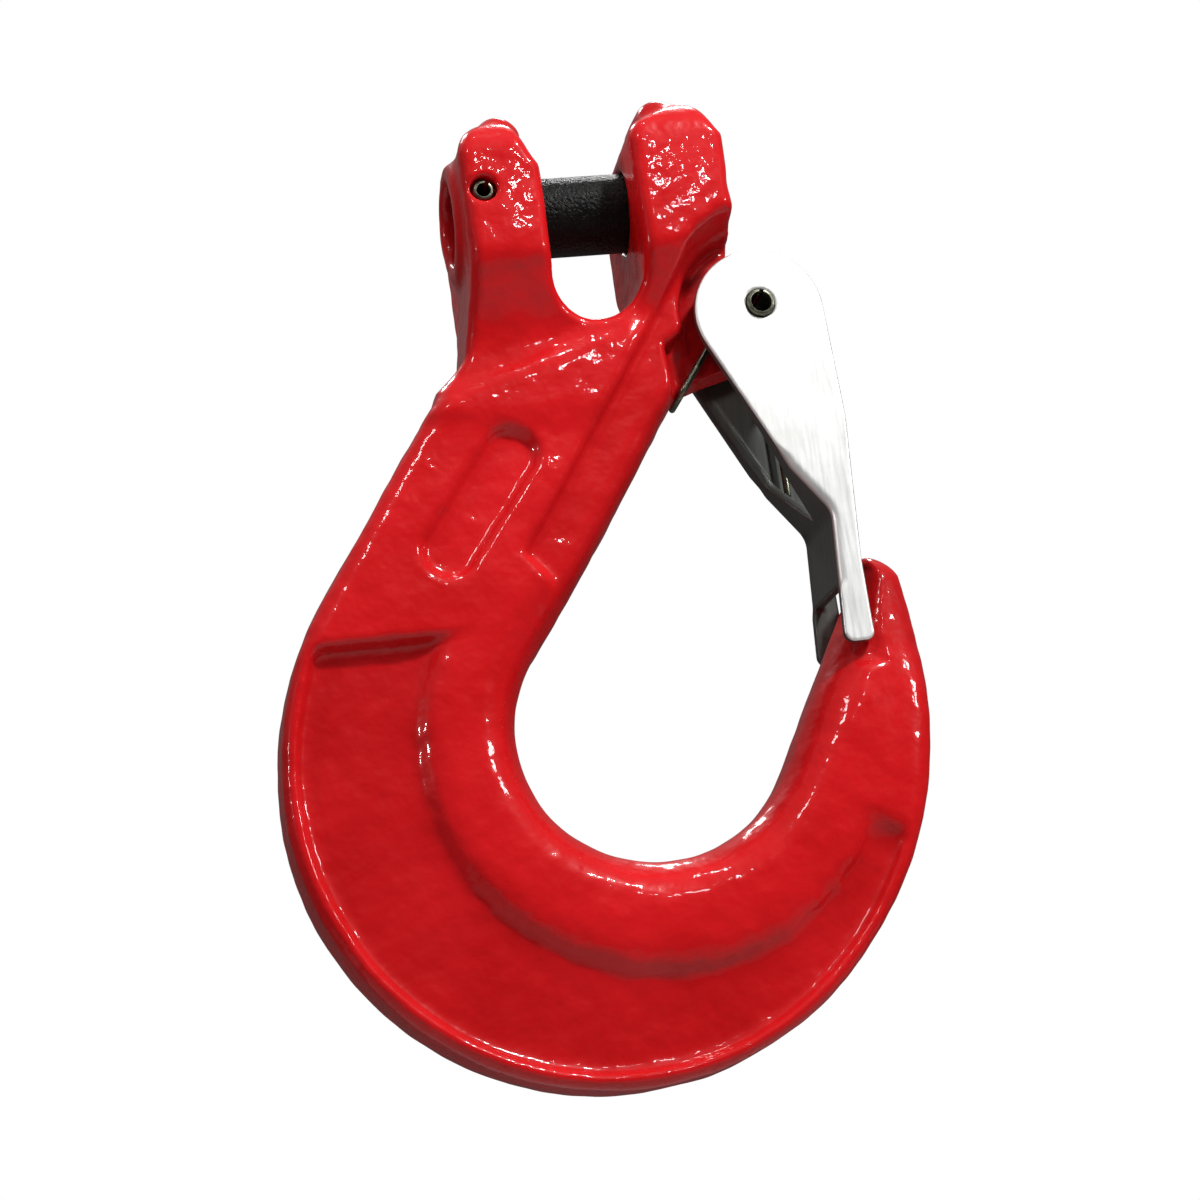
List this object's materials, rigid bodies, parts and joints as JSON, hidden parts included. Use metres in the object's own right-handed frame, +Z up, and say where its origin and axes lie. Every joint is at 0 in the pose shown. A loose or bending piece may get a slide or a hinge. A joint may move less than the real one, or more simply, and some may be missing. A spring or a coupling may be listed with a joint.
{
  "type": "clevis sling hook with safety latch",
  "caption": "Forged chain hook with a clevis and load pin at the top, a deep open bowl, and a spring-loaded folded-sheet latch that closes the throat.",
  "frame": {"origin": "centre of the load pin's free stretch, midway between the clevis ears", "axes": "+Z up the hanging hook, from the bowl to the clevis; +X along the load pin, towards the latch; -Y faces the viewer of the hook's front"},
  "size_m": [0.127, 0.0368, 0.1966],
  "materials": {
    "red_paint": "glossy enamel over a forged surface",
    "black_oxide": "satin black oxide on alloy steel",
    "zinc_sheet": "bright zinc-plated stamped sheet",
    "spring_steel": "dull grey oiled spring steel"
  },
  "bodies": {
    "hook": {"hook_body": "red_paint", "load_pin": "black_oxide", "load_pin_retaining_pin": "spring_steel", "latch_pivot_pin": "spring_steel", "latch_spring": "spring_steel"},
    "latch": {"latch": "zinc_sheet"}
  },
  "joints": [
    {"name": "latch_hinge", "type": "hinge", "parent": "hook", "child": "latch", "pos_m": [0.032, 0, -0.0255], "axis": [0, 1, 0], "range_deg": [0, 38], "stiffness_Nm_per_rad": 0.4, "springref_deg": -34.38, "deforming": ["latch_spring"]}
  ]
}
